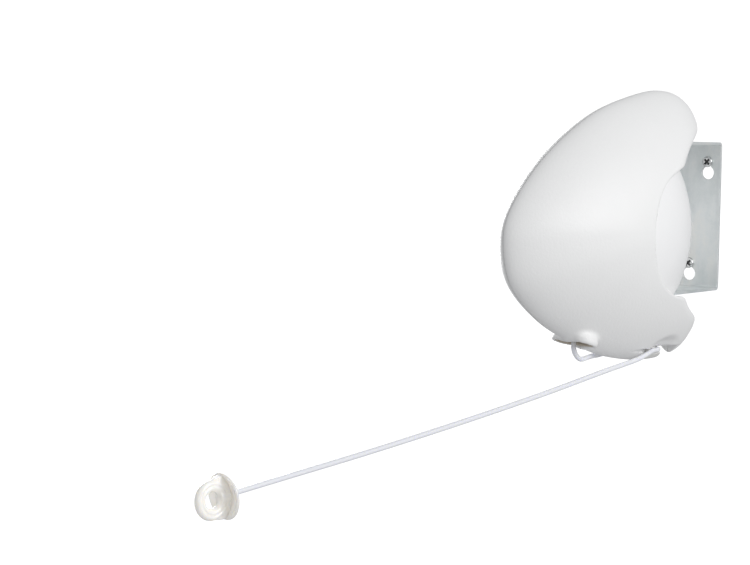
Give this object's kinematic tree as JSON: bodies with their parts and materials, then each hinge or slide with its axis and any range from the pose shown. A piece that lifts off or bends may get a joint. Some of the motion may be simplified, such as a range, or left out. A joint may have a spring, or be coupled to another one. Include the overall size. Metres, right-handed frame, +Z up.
{
  "type": "retractable clothesline",
  "caption": "Wall-mounted retractable clothesline: an egg-shaped housing swivels on a folded steel bracket, and its line ends in a capped eyelet.",
  "frame": {"origin": "midway between the two wall screws, on the wall's surface", "axes": "+Y points into the wall, +Z up, +X to the right when facing the wall"},
  "size_m": [0.1385, 0.529, 0.2848],
  "materials": {
    "shell_plastic": "white moulded plastic with a fine grain",
    "zinc_steel": "zinc-plated sheet steel",
    "screw_steel": "bright zinc-plated screw",
    "pin_steel": "turned steel",
    "dark_steel": "blackened spring clip",
    "spring_steel": "blued spring strip",
    "bush_plastic": "natural acetal",
    "washer_plastic": "dark grey nylon",
    "reel_plastic": "light grey moulded plastic",
    "guide_plastic": "beige moulded plastic",
    "line_pvc": "cool white PVC-sheathed line",
    "ivory_plastic": "translucent ivory plastic"
  },
  "bodies": {
    "bracket": {"wall_bracket": "zinc_steel", "wall_screws": "screw_steel", "upper_pivot_pin": "pin_steel", "lower_pivot_pin": "pin_steel", "pin_clips": "dark_steel"},
    "housing": {"near_shell": "shell_plastic", "far_shell": "shell_plastic", "upper_bushes": "bush_plastic", "lower_bushes": "bush_plastic", "thrust_washers": "washer_plastic", "housing_screws": "screw_steel", "reel_axle": "pin_steel", "spring_arbor": "bush_plastic", "spiral_spring": "spring_steel", "line_cleat": "shell_plastic", "mouth_guide": "guide_plastic", "inner_line": "line_pvc", "clothes_line": "line_pvc"},
    "reel": {"reel_drum": "reel_plastic", "near_reel_flange": "reel_plastic", "far_reel_flange": "reel_plastic", "spring_cup": "reel_plastic", "spring_cover": "reel_plastic", "reel_bushes": "bush_plastic", "wound_line": "line_pvc", "line_anchor": "pin_steel"},
    "end_fitting": {"end_cap": "ivory_plastic", "end_eyelet": "ivory_plastic", "line_ferrule": "pin_steel"}
  },
  "joints": [
    {"name": "housing_swivel", "type": "hinge", "parent": "bracket", "child": "housing", "pos_m": [0, -0.065, 0], "axis": [0, 0, 1], "range_deg": [-22, 48]},
    {"name": "reel_spin", "type": "hinge", "parent": "housing", "child": "reel", "pos_m": [-0.01395, -0.12541, -0.0105], "axis": [0.9744, -0.225, 0], "continuous": true},
    {"name": "line_end_twist", "type": "hinge", "parent": "housing", "child": "end_fitting", "pos_m": [-0.08639, -0.49252, -0.174], "axis": [-0.2222, -0.9624, -0.1564], "continuous": true}
  ]
}
